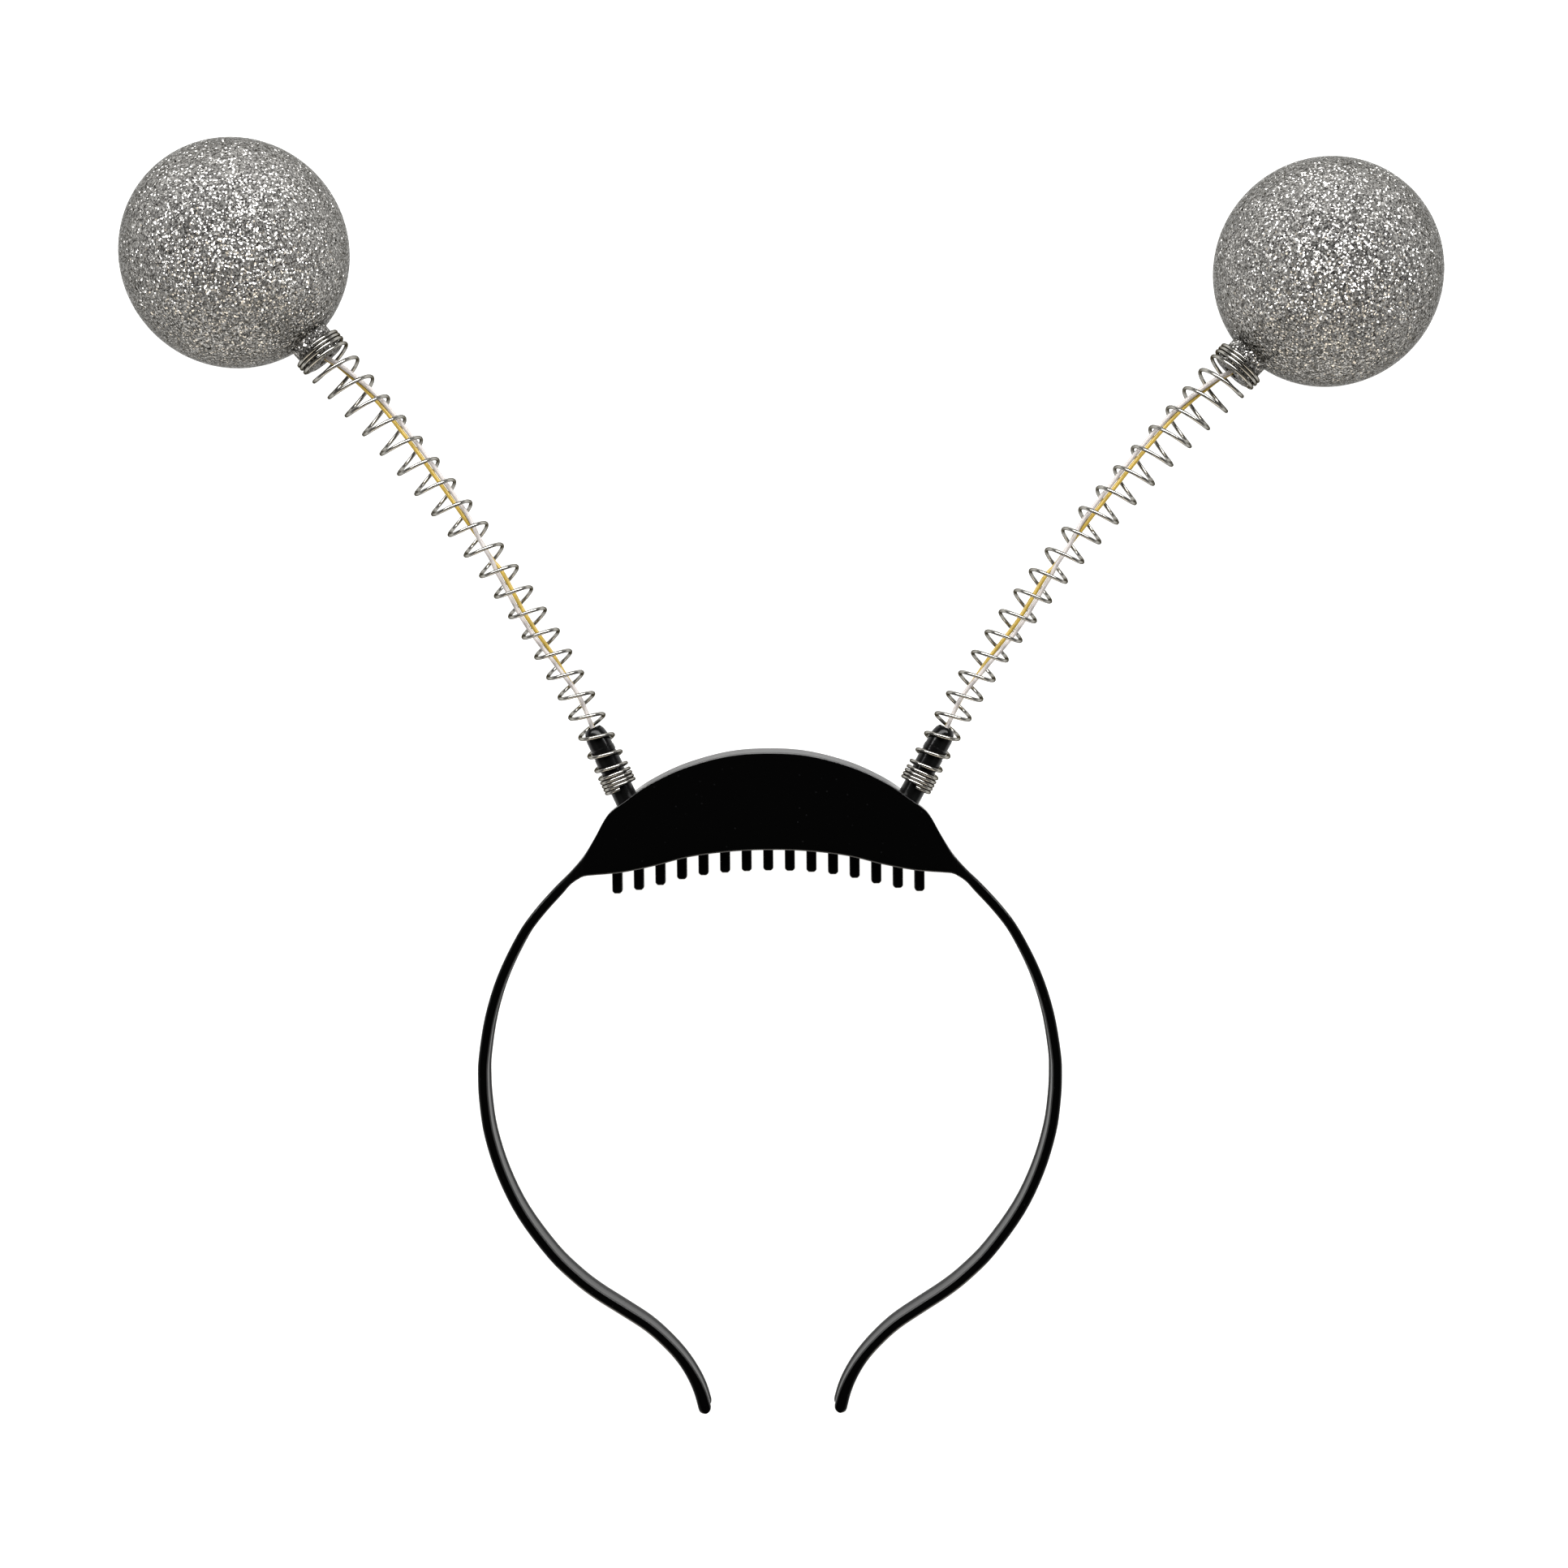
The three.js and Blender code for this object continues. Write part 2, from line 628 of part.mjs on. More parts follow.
// A hollow ball with a neck towards its post, its leads' hole in the neck's end face.
function ballGeometry(axis) {
  const profile = [];
  const inside = BALL_RADIUS - BALL_WALL;
  const neckInside = NECK_RADIUS - BALL_WALL;
  const neckEnd = -(BALL_RADIUS + NECK_LENGTH);
  const arc = (radius, from, to, steps) => {
    for (let i = 0; i <= steps; i += 1) {
      const angle = THREE.MathUtils.lerp(from, to, i / steps);
      profile.push(new THREE.Vector2(radius * Math.sin(angle), -radius * Math.cos(angle)));
    }
  };
  profile.push(new THREE.Vector2(NECK_HOLE, neckEnd));
  profile.push(new THREE.Vector2(NECK_RADIUS, neckEnd));
  arc(BALL_RADIUS, Math.asin(NECK_RADIUS / BALL_RADIUS), Math.PI, 11);
  arc(inside, Math.PI, Math.asin(neckInside / inside), 7);
  profile.push(new THREE.Vector2(neckInside, neckEnd + BALL_WALL));
  profile.push(new THREE.Vector2(NECK_HOLE, neckEnd + BALL_WALL));
  profile.push(new THREE.Vector2(NECK_HOLE, neckEnd));
  return onAxis(new THREE.LatheGeometry(profile, BALL_SEGMENTS), axis, axis.length);
}

// A lead from inside the housing up the post and the spring into the ball.
class LeadRoute extends THREE.CatmullRomCurve3 {
  constructor(axis, sign) {
    const rows = [
      { s: -POST_FOOT - 2, inward: 0, twist: leadRoute[0].twist },
      { s: POST_LENGTH * 0.5, inward: 0, twist: leadRoute[0].twist },
      ...leadRoute.map((row) => ({ ...row, s: POST_LENGTH + row.along * SPRING_LENGTH })),
      { s: axis.neckEnd + LEAD_TAIL, inward: 0, twist: leadRoute[leadRoute.length - 1].twist },
    ];
    const points = rows.map((row) => {
      const frame = axis.at(row.s);
      const twist = radians(row.twist);
      const reach = (sign * LEAD_SPACING) / 2;
      const aside = row.inward * LEAD_SPACING + reach * Math.cos(twist);
      const point = frame.point.clone().addScaledVector(frame.inward, aside);
      point.z -= reach * Math.sin(twist);
      return point;
    });
    super(points);
  }
}

function leadGeometry(axis, sign) {
  return new THREE.ExtrudeGeometry(roundSection(LEAD_RADIUS, 6), {
    extrudePath: new LeadRoute(axis, sign),
    steps: LEAD_STEPS,
    bevelEnabled: false,
  });
}

const materials = {
  glossBlack: new THREE.MeshStandardMaterial({ color: 0x0b0b0d, roughness: 0.12, metalness: 0 }),
  postBlack: new THREE.MeshStandardMaterial({ color: 0x101012, roughness: 0.25, metalness: 0 }),
  springSteel: new THREE.MeshStandardMaterial({ color: 0xb9b9b4, roughness: 0.2, metalness: 1 }),
  glitter: new THREE.MeshStandardMaterial({ color: 0x9a9892, roughness: 0.35, metalness: 0.8 }),
  whiteLead: new THREE.MeshStandardMaterial({ color: 0xe9e7e6, roughness: 0.4, metalness: 0 }),
  yellowLead: new THREE.MeshStandardMaterial({ color: 0xe0ab2c, roughness: 0.4, metalness: 0 }),
};

function piece(name, geometry, material) {
  const plain = geometry.index ? geometry.toNonIndexed() : geometry;
  plain.computeVertexNormals();
  const mesh = new THREE.Mesh(plain, material);
  mesh.name = name;
  return mesh;
}

const axes = antennas.map(antennaAxis);
const flat = new THREE.Group();
flat.add(piece("headband", headbandGeometry(axes), materials.glossBlack));
flat.add(piece("front_panel", panelGeometry(), materials.glossBlack));
flat.add(piece("comb", combGeometry(0), materials.glossBlack));
antennas.forEach((antenna, index) => {
  const axis = axes[index];
  const name = antenna.name;
  flat.add(piece(`${name}_post`, postGeometry(axis), materials.postBlack));
  flat.add(piece(`${name}_spring`, springGeometry(axis), materials.springSteel));
  flat.add(piece(`${name}_ball`, ballGeometry(axis), materials.glitter));
  flat.add(piece(`${name}_lead_white`, leadGeometry(axis, -1), materials.whiteLead));
  flat.add(piece(`${name}_lead_yellow`, leadGeometry(axis, 1), materials.yellowLead));
});
flat.rotation.x = REST_TILT;
flat.position.z = REST_HEIGHT;

const bopper = new THREE.Group();
bopper.add(flat);
export default bopper;
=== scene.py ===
# Head bopper: a gloss black headband with a battery housing and a comb, two conical springs with
# their leads, and two glitter balls. It lies on its back and is seen from straight above.
import math

import bmesh
import bpy
from mathutils import Matrix, Vector


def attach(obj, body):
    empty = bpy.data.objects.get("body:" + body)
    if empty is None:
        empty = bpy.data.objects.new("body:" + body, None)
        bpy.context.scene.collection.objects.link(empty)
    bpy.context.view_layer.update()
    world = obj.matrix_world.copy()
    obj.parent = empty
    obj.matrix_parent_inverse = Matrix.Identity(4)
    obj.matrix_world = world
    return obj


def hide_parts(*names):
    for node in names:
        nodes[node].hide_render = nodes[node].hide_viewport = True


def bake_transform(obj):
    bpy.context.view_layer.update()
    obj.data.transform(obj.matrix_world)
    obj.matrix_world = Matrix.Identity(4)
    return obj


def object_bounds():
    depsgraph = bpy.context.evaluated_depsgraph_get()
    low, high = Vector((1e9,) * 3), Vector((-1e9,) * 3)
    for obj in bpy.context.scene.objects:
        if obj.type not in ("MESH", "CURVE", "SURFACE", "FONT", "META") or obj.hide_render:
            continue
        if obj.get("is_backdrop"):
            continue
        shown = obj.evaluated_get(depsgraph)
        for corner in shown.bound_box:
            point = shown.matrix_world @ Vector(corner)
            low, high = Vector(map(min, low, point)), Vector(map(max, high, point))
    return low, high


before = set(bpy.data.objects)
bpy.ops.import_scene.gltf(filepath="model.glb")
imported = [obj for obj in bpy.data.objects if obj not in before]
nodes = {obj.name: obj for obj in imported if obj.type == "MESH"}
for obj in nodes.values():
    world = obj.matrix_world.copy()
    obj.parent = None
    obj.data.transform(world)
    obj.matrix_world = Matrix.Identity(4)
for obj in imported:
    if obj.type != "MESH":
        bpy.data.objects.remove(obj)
cad_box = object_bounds()
MM = 0.001


# Camera: a 65 mm lens two thirds of a metre above the surface, looking down. The object is turned
# by about half a degree in the picture.
LENS_PIXELS = 3520.0
IMAGE_PIXELS = 1932.0
SENSOR = 36.0
CAMERA_PLACE = Vector((3.648, 0.920, 652.648)) * MM
CAMERA_PITCH = math.radians(-0.224)
CAMERA_ROLL = math.radians(-0.455)

camera_data = bpy.data.cameras.new("camera")
camera_data.sensor_width = SENSOR
camera_data.lens = LENS_PIXELS / IMAGE_PIXELS * SENSOR
camera_data.clip_start = 0.01
camera = bpy.data.objects.new("camera", camera_data)
bpy.context.scene.collection.objects.link(camera)
camera_back = Vector((0, math.sin(CAMERA_PITCH), math.cos(CAMERA_PITCH)))
level_up = Vector((0, math.cos(CAMERA_PITCH), -math.sin(CAMERA_PITCH)))
camera_turn = Matrix((Vector((1, 0, 0)), level_up, camera_back)).transposed()
camera_turn = camera_turn @ Matrix.Rotation(CAMERA_ROLL, 3, "Z")
camera.matrix_world = Matrix.Translation(CAMERA_PLACE) @ camera_turn.to_4x4()
bpy.context.scene.camera = camera
bpy.context.scene.view_settings.view_transform = "Standard"


# Studio: a sheet of pale milk glass lit from below around the object, as product tables are, one
# broad soft box hung beyond the balls, a low warm card at the near side to fill the shadows, and a
# dim room that is darkest overhead, where the camera hangs.
def linear(hex_colour):
    """A web colour as the linear values that a shader takes."""
    channels = [int(hex_colour[i : i + 2], 16) / 255 for i in (1, 3, 5)]
    curve = lambda c: c / 12.92 if c <= 0.04045 else ((c + 0.055) / 1.055) ** 2.4
    return (*[curve(c) for c in channels], 1.0)


def add_node(tree, kind, inputs=(), **settings):
    """A shader node; an input is either a value or the output that feeds it."""
    new = tree.nodes.new(kind)
    for name, value in settings.items():
        setattr(new, name, value)
    for name, value in dict(inputs).items():
        if isinstance(value, bpy.types.NodeSocket):
            tree.links.new(value, new.inputs[name])
        else:
            new.inputs[name].default_value = value
    return new


def ranged(tree, value, low, high, at_low, at_high):
    """A value mapped from one range to another, and held at its ends."""
    ends = {"From Min": low, "From Max": high, "To Min": at_low, "To Max": at_high}
    return add_node(tree, "ShaderNodeMapRange", {"Value": value, **ends}).outputs["Result"]


def computed(tree, operation, *values):
    node = add_node(tree, "ShaderNodeMath", enumerate(values), operation=operation)
    return node.outputs["Value"]


def vector_computed(tree, operation, *values):
    node = add_node(tree, "ShaderNodeVectorMath", enumerate(values), operation=operation)
    gives_number = operation in ("LENGTH", "DOT_PRODUCT")
    return node.outputs["Value" if gives_number else "Vector"]


def blended_colour(tree, share, first, second):
    """A mix of two colours: the first at share 0, the second at share 1."""
    inputs = {0: share, 6: first, 7: second}
    return add_node(tree, "ShaderNodeMix", inputs, data_type="RGBA").outputs[2]


def noise(tree, vector, size, detail):
    inputs = {"Vector": vector, "Scale": 1 / size, "Detail": detail}
    return add_node(tree, "ShaderNodeTexNoise", inputs).outputs["Fac"]


def new_material(name):
    material = bpy.data.materials.new(name)
    material.use_nodes = True
    tree = material.node_tree
    return material, tree, tree.nodes["Principled BSDF"]


def wire_up(tree, surface, **sockets):
    """Feed the shader's sockets, whose names are given with _ for each space."""
    for name, output in sockets.items():
        tree.links.new(output, surface.inputs[name.replace("_", " ")])


def add_object(name, data):
    piece = bpy.data.objects.new(name, data)
    bpy.context.scene.collection.objects.link(piece)
    return piece


def dress(piece, material):
    piece.data.materials.clear()
    piece.data.materials.append(material)


FLOOR_HALF = 3.0
GLASS_GREY = "#8C8C8B"
GLASS_LIGHT = "#FFFFFE"
GLASS_GRAIN = 0.6 * MM
GLASS_ROUGHNESS = (0.85, 0.95)
GLASS_SPECULAR = 0.2
TABLE_LIGHT = 0.96
TABLE_EDGE_LIGHT = 0.15
LIT_RADIUS = 0.28
DARK_RADIUS = 0.75

floor_mesh = bpy.data.meshes.new("floor")
shape = bmesh.new()
bmesh.ops.create_grid(shape, x_segments=1, y_segments=1, size=FLOOR_HALF)
shape.to_mesh(floor_mesh)
shape.free()
floor = add_object("floor", floor_mesh)

milk_glass, tree, surface = new_material("lit_milk_glass")
place = add_node(tree, "ShaderNodeTexCoord").outputs["Object"]
grain = noise(tree, place, GLASS_GRAIN, 2.0)
off_centre = vector_computed(tree, "LENGTH", place)
surface.inputs["Base Color"].default_value = linear(GLASS_GREY)
surface.inputs["Specular IOR Level"].default_value = GLASS_SPECULAR
surface.inputs["Emission Color"].default_value = linear(GLASS_LIGHT)
wire_up(
    tree,
    surface,
    Roughness=ranged(tree, grain, 0, 1, *GLASS_ROUGHNESS),
    Emission_Strength=ranged(
        tree, off_centre, LIT_RADIUS, DARK_RADIUS, TABLE_LIGHT, TABLE_EDGE_LIGHT
    ),
)
dress(floor, milk_glass)
floor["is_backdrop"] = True

# Brightness of the room, from the horizon (0) up to straight overhead (1).
room_steps = [(0.0, 0.4), (0.1, 0.36), (0.35, 0.26), (0.8, 0.25), (0.92, 0.005)]

world = bpy.data.worlds.new("studio")
world.use_nodes = True
bpy.context.scene.world = world
tree = world.node_tree
direction = add_node(tree, "ShaderNodeTexCoord")
height = add_node(tree, "ShaderNodeSeparateXYZ", {"Vector": direction.outputs["Generated"]})
room = add_node(tree, "ShaderNodeValToRGB", {"Fac": height.outputs["Z"]})
stops = room.color_ramp.elements
while len(stops) < len(room_steps):
    stops.new(1.0)
for stop, (position, brightness) in zip(stops, room_steps):
    stop.position = position
    stop.color = (brightness, brightness, brightness, 1)
tree.links.new(room.outputs["Color"], tree.nodes["Background"].inputs["Color"])

BOX_NEAR = 0.54
BOX_FAR = 1.2
BOX_HALF_WIDTH = 1.4
BOX_HEIGHT = 1.0
BOX_POWER = 92.0

box_light = bpy.data.lights.new("soft_box", "AREA")
box_light.shape = "RECTANGLE"
box_light.size = 2 * BOX_HALF_WIDTH
box_light.size_y = BOX_FAR - BOX_NEAR
box_light.energy = BOX_POWER
soft_box = add_object("soft_box", box_light)
soft_box.location = (0, (BOX_NEAR + BOX_FAR) / 2, BOX_HEIGHT)

CARD_WARMTH = "#FFF3DF"
CARD_WIDTH = 1.1
CARD_HEIGHT = 0.5
CARD_AWAY = 0.8
CARD_POWER = 4.4

card_light = bpy.data.lights.new("fill_card", "AREA")
card_light.shape = "RECTANGLE"
card_light.color = linear(CARD_WARMTH)[:3]
card_light.size = CARD_WIDTH
card_light.size_y = CARD_HEIGHT
card_light.energy = CARD_POWER
fill_card = add_object("fill_card", card_light)
fill_card.location = (0, -CARD_AWAY, CARD_HEIGHT / 2)
fill_card.rotation_euler = (math.radians(90), 0, 0)


# Headband: one moulding of black ABS: the battery housing at the crown, flat at the back, and two
# springy limbs with raised rims along their inner faces. Its faces are polished like glass, except
# the limbs' inner ones and the crown's upper wall, which came satin from the mould.
TILT = math.radians(4.894)
BAND_LIFT = 15.3605 * MM
CROWN_HALF_SPAN = 49 * MM
CROWN_HEIGHT = 21.65 * MM
CROWN_FRONT = 6 * MM
BAND_HALF_WIDTH = 65.3 * MM
BAND_LENGTH = 150 * MM
BAND_WALL = 2.3 * MM
BAND_DEPTH = 9 * MM
TIP_DEPTH = 7 * MM
RIM_WIDTH = 1.1 * MM
CHANNEL_DEPTH = 0.35 * MM
LIMB_FRONT_ROUNDING = 0.6 * MM
CROWN_FRONT_ROUNDING = 0.12 * MM
SEAT_ROUNDING = 0.15 * MM
INNER_ROUNDING = 0.35 * MM
LIMB_BACK_ROUNDING = 0.6 * MM
HOUSING_BACK_ROUNDING = 7 * MM
CORNER_STEPS = 6

HOUSING_WALL = 2 * MM
HOUSING_FLOOR = 2.2 * MM
HOUSING_SILL = 3.8 * MM
PANEL_THICKNESS = 1.6 * MM
SEAM = 0.1 * MM
RAIL_SLOT_HALF = 1.6 * MM
RAIL_SLOT_DEPTH = 1.9 * MM
RIM_SLOPE = 0.05 * MM
HOUSING_REACH = 1.2

# Half outline of the crown: top across and up, lower edge across and up, as shares of the
# half span and the height.
crown_sections = [
    (0, 0.5, 0, -0.5),
    (0.184, 0.47, 0.171, -0.514),
    (0.38, 0.35, 0.355, -0.566),
    (0.537, 0.183, 0.51, -0.653),
    (0.643, 0.018, 0.643, -0.714),
    (0.722, -0.122, 0.731, -0.736),
    (0.786, -0.368, 0.786, -0.746),
    (0.838, -0.555, 0.84, -0.764),
    (0.9, -0.716, 0.892, -0.836),
]

# Half outline of a limb's outer face: across as a share of the band's half width, and down as a
# share of its length.
limb_sections = [
    (0.726, 0.1972),
    (0.798, 0.232),
    (0.857, 0.268),
    (0.927, 0.329),
    (0.972, 0.39),
    (0.996, 0.451),
    (1.0, 0.486),
    (0.996, 0.524),
    (0.98, 0.573),
    (0.938, 0.634),
    (0.87, 0.696),
    (0.768, 0.758),
    (0.683, 0.7955),
    (0.611, 0.8205),
    (0.525, 0.845),
    (0.44, 0.87),
    (0.377, 0.895),
    (0.327, 0.92),
    (0.291, 0.945),
    (0.266, 0.97),
    (0.248, 1.0),
]

# Swelling of the band into the housing: share of the half span, of the step at the front, and of
# the step at the back.
depth_sections = [
    (0, 1, 1),
    (0.72, 1, 1),
    (0.8, 0.9, 0.86),
    (0.88, 0.55, 0.45),
    (0.96, 0.18, 0.12),
    (1.04, 0, 0),
    (2, 0, 0),
]

# Places along the band, counted in rows of its outline from the crown's middle.
CROWN_END = 8
PANEL_END = 7.22
SEAT_END = 7.25
SLOT_END = 5.4
POCKET_END = 4.85
BAND_END = 29
TIP_ROUNDING = 0.4
TIP_STEPS = 9
TIP_SWELLS_FROM = 25.5
TIP_SWELL = 0.27
ROUNDING_GROWS = (4, 7)
JUST_PAST = 0.01


def eased(share):
    """A share held between 0 and 1, with a gentle start and end."""
    share = min(max(share, 0), 1)
    return share**2 * (3 - 2 * share)


def to_world(x, y, z):
    """A place in the band's own frame, tilted and lifted as the bopper lies."""
    return Vector(
        (
            x,
            y * math.cos(TILT) - z * math.sin(TILT),
            y * math.sin(TILT) + z * math.cos(TILT) + BAND_LIFT,
        )
    )


def smoothly(rows, value, column):
    """A column of a table at a value of its first column, along a smooth curve."""
    i = 1
    while i < len(rows) - 1 and rows[i][0] < value:
        i += 1
    a, b, c, d = (rows[min(max(n, 0), len(rows) - 1)] for n in (i - 2, i - 1, i, i + 1))
    span = c[0] - b[0]
    t = min(max((value - b[0]) / span, 0), 1)
    start = 0 if c[0] == a[0] else (c[column] - a[column]) / (c[0] - a[0]) * span
    end = 0 if d[0] == b[0] else (d[column] - b[column]) / (d[0] - b[0]) * span
    return (
        b[column] * (2 * t**3 - 3 * t**2 + 1)
        + start * (t**3 - 2 * t**2 + t)
        + c[column] * (3 * t**2 - 2 * t**3)
        + end * (t**3 - t**2)
    )


def through(points, t):
    """A place on the smooth line through a row of points, t of them along."""
    i = min(int(t), len(points) - 2)
    a, b, c, d = (points[min(max(n, 0), len(points) - 1)] for n in (i - 1, i, i + 1, i + 2))
    t -= i
    start, end = (c - a) / 2, (d - b) / 2
    bend = 3 * (c - b) - 2 * start - end
    return b + start * t + bend * t**2 + (2 * (b - c) + start + end) * t**3


crown_top = CROWN_HEIGHT / 2
half_outer = [Vector((a * CROWN_HALF_SPAN, b * CROWN_HEIGHT)) for a, b, _, _ in crown_sections]
half_outer += [
    Vector((across * BAND_HALF_WIDTH, crown_top - down * BAND_LENGTH))
    for across, down in limb_sections
]
half_inner = [Vector((c * CROWN_HALF_SPAN, d * CROWN_HEIGHT)) for _, _, c, d in crown_sections]
for i in range(CROWN_END + 1, BAND_END + 1):
    run = half_outer[min(i + 1, BAND_END)] - half_outer[i - 1]
    half_inner.append(half_outer[i] + Vector((run.y, -run.x)).normalized() * BAND_WALL)


def both_halves(half):
    """A half outline with its mirror image before it, from the left tip to the right one."""
    return [Vector((-point.x, point.y)) for point in half[:0:-1]] + half


outer_line = both_halves(half_outer)
inner_line = both_halves(half_inner)


def depth_at(x, y):
    """Front and back levels of the band at a place, and how far it has swelled to the back."""
    past_all = depth_sections[-1][0]
    share = abs(x) / CROWN_HALF_SPAN if y > -HOUSING_REACH * CROWN_HEIGHT else past_all
    front = min(smoothly(depth_sections, share, 1), 1)
    back = min(smoothly(depth_sections, share, 2), 1)
    half = (BAND_DEPTH + (TIP_DEPTH - BAND_DEPTH) * eased((crown_top - y) / BAND_LENGTH * 2 - 1)) / 2
    rest = -(BAND_LIFT + y * math.sin(TILT)) / math.cos(TILT)
    return half + (CROWN_FRONT - half) * front, -half + (rest + half) * back, back


def rounded(face, inset, radius, start):
    """A corner of a section, turned through a quarter from a start angle."""
    for i in range(CORNER_STEPS + 1):
        angle = math.radians(start - 90 * i / CORNER_STEPS)
        centre = -radius if face == "front" else radius
        yield face, inset + radius * math.cos(angle), centre + radius * math.sin(angle)


def section_at(t, wall_share, outline):
    """A ring of places round the band; outline gives each one's face, inset and height off it."""
    outer = through(outer_line, t + BAND_END)
    inner = through(inner_line, t + BAND_END)
    middle = (outer + inner) / 2
    outer = middle + (outer - middle) * wall_share
    inner = middle + (inner - middle) * wall_share
    wall = (inner - outer).length
    across = (inner - outer) / wall
    swelled = depth_at(middle.x, middle.y)[2]
    ring = []
    for face, inset, off in outline(t, wall, swelled):
        spot = outer + across * inset
        front, back, _ = depth_at(spot.x, spot.y)
        level = {"front": front, "back": back, "middle": 0}[face]
        ring.append(to_world(spot.x, spot.y, level + off))
    return ring


def front_rounding_at(t, wall):
    """The outer edge of the front is nearly sharp on the crown, and round on the limbs."""
    first, last = ROUNDING_GROWS
    share = min(max((abs(t) - first) / (last - first), 0), 1) ** 2
    radius = CROWN_FRONT_ROUNDING + (LIMB_FRONT_ROUNDING - CROWN_FRONT_ROUNDING) * share
    return min(radius, 0.46 * wall)


def band_outline(t, wall, swelled):
    """The band's section: its front, the pocket or the flat, its inner face, and its back."""
    seated = abs(t) <= SEAT_END
    drop = -(PANEL_THICKNESS + SEAM) if seated else 0
    front_rounding = SEAT_ROUNDING if seated else front_rounding_at(t, wall)
    inner_rounding = SEAT_ROUNDING if seated else min(INNER_ROUNDING, 0.2 * wall)
    back_rounding = LIMB_BACK_ROUNDING + (HOUSING_BACK_ROUNDING - LIMB_BACK_ROUNDING) * swelled
    back_rounding = min(back_rounding, wall / 3)
    edge = min(LIMB_BACK_ROUNDING, wall / 4)
    channel = min(CHANNEL_DEPTH * (1 - swelled), wall / 6)
    for face, inset, off in rounded("front", front_rounding, front_rounding, 180):
        yield face, inset, off + drop
    if abs(t) <= POCKET_END:
        yield "front", HOUSING_WALL, drop
        yield "back", HOUSING_WALL, HOUSING_FLOOR
        yield "back", wall - HOUSING_SILL, HOUSING_FLOOR
        yield "front", wall - HOUSING_SILL, drop
    else:
        flat = wall - front_rounding - inner_rounding
        for share in (0.2, 0.4, 0.6, 0.8):
            yield "front", front_rounding + flat * share, drop
    for face, inset, off in rounded("front", wall - inner_rounding, inner_rounding, 90):
        yield face, inset, off + drop
    if abs(t) <= SLOT_END:
        yield "middle", wall, RAIL_SLOT_HALF
        yield "middle", wall - RAIL_SLOT_DEPTH, RAIL_SLOT_HALF
        yield "middle", wall - RAIL_SLOT_DEPTH, -RAIL_SLOT_HALF
        yield "middle", wall, -RAIL_SLOT_HALF
    else:
        bottom = RIM_WIDTH + channel + RIM_SLOPE
        yield "front", wall, -RIM_WIDTH
        yield "front", wall - channel, -bottom
        yield "back", wall - channel, bottom
        yield "back", wall, RIM_WIDTH
    yield from rounded("back", wall - edge, edge, 0)
    yield from rounded("back", back_rounding, back_rounding, -90)


def skinned(name, rings):
    """A closed skin over a row of rings with as many places each: a grid laid over them."""
    mesh = bpy.data.meshes.new(name)
    shape = bmesh.new()
    bmesh.ops.create_grid(shape, x_segments=len(rings) - 1, y_segments=len(rings[0]), size=1)
    shape.verts.ensure_lookup_table()
    for k in range(len(rings[0]) + 1):
        for r, ring in enumerate(rings):
            shape.verts[k * len(rings) + r].co = ring[k % len(ring)]
    bmesh.ops.remove_doubles(shape, verts=shape.verts, dist=0.001 * MM)
    open_edges = [edge for edge in shape.edges if edge.is_boundary]
    bmesh.ops.holes_fill(shape, edges=open_edges, sides=0)
    bmesh.ops.recalc_face_normals(shape, faces=shape.faces)
    shape.to_mesh(mesh)
    shape.free()
    return add_object(name, mesh)


def smooth_up_to(piece, degrees):
    """Smooth shading, but for edges that turn by more than an angle."""
    mesh = piece.data
    mesh.polygons.foreach_set("use_smooth", [True] * len(mesh.polygons))
    mesh.set_sharp_from_angle(angle=math.radians(degrees))


def keep_faces_flat(piece):
    flat_faces = piece.modifiers.new("flat_faces", "WEIGHTED_NORMAL")
    flat_faces.keep_sharp = True


def swollen(t):
    """The limbs thicken a little towards their tips."""
    return 1 + TIP_SWELL * eased((t - TIP_SWELLS_FROM) / (BAND_END - TIP_SWELLS_FROM))


half_stations = [(i / 8, 1) for i in range(1, 8 * CROWN_END)]
for i in range(4 * (BAND_END - CROWN_END) - 1):
    half_stations.append((CROWN_END + i / 4, swollen(CROWN_END + i / 4)))
for end in (SEAT_END, SLOT_END, POCKET_END):
    half_stations += [(end, 1), (end + JUST_PAST, 1)]
for i in range(TIP_STEPS):
    angle = math.radians(90 / TIP_STEPS * i)
    t = BAND_END - TIP_ROUNDING * (1 - math.sin(angle))
    half_stations.append((t, swollen(t) * math.cos(angle)))
stations = [(-t, share) for t, share in half_stations] + [(0, 1)] + half_stations
band_rings = [section_at(t, share, band_outline) for t, share in sorted(set(stations))]

ABS_BLACK = "#020202"
ABS_DUST = "#121213"
DUST_SPACING = 2.2 * MM
DUST_SIZE = (0.03, 0.09)
MOULD_RIPPLE = 9 * MM
RIPPLE_HEIGHT = 0.2 * MM
RIPPLE_STRENGTH = 0.06
POLISH = (0.06, 0.11)
SATIN = 0.5
ABS_IOR = 1.5

# Where the crown's upper wall ends, how steep and how far upwards it faces, and the middle of the
# head, from which the limbs' inner faces are seen.
CROWN_WALL_ENDS = (26 * MM, 34 * MM)
WALL_STEEPNESS = (0.15, 0.3)
WALL_UPWARDS = (0.4, 0.6)
HEAD_MIDDLE = (0, -62 * MM, BAND_LIFT)
INWARD_REACH = (-10 * MM, -4 * MM)

